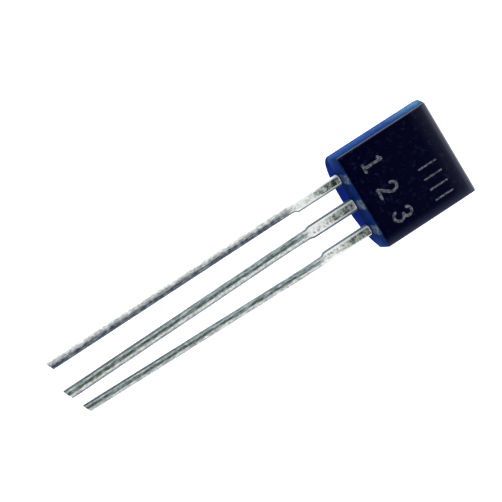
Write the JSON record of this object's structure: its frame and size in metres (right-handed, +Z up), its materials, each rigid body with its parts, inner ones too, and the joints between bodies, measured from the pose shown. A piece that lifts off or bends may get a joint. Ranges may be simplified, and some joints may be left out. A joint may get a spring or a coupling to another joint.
{
  "type": "to-92 transistor",
  "caption": "Small-signal transistor in a TO-92 outline: a D-shaped moulded epoxy case on a stamped lead frame, with straight tinned leads that solder into a circuit board.",
  "frame": {"origin": "middle of the bounding box on the surface that the part lies on", "axes": "+X from the lead tips to the upper end of the case, +Y toward the left lead as seen with the flat face up and the leads toward the viewer's feet, +Z up from the surface; the flat face looks up, leaning back toward the leads"},
  "size_m": [0.0196, 0.0046, 0.0041],
  "materials": {
    "epoxy_case": "satin, near-black on the flat face",
    "tinned_lead": "mottled bright tin dip",
    "silicon": "polished",
    "solder": "dull",
    "gold_wire": "bright drawn wire"
  },
  "bodies": {
    "root": {"body": "epoxy_case", "left_lead": "tinned_lead", "middle_lead": "tinned_lead", "right_lead": "tinned_lead", "die": "silicon", "die_attach": "solder", "left_bond_wire": "gold_wire", "right_bond_wire": "gold_wire"}
  },
  "joints": []
}
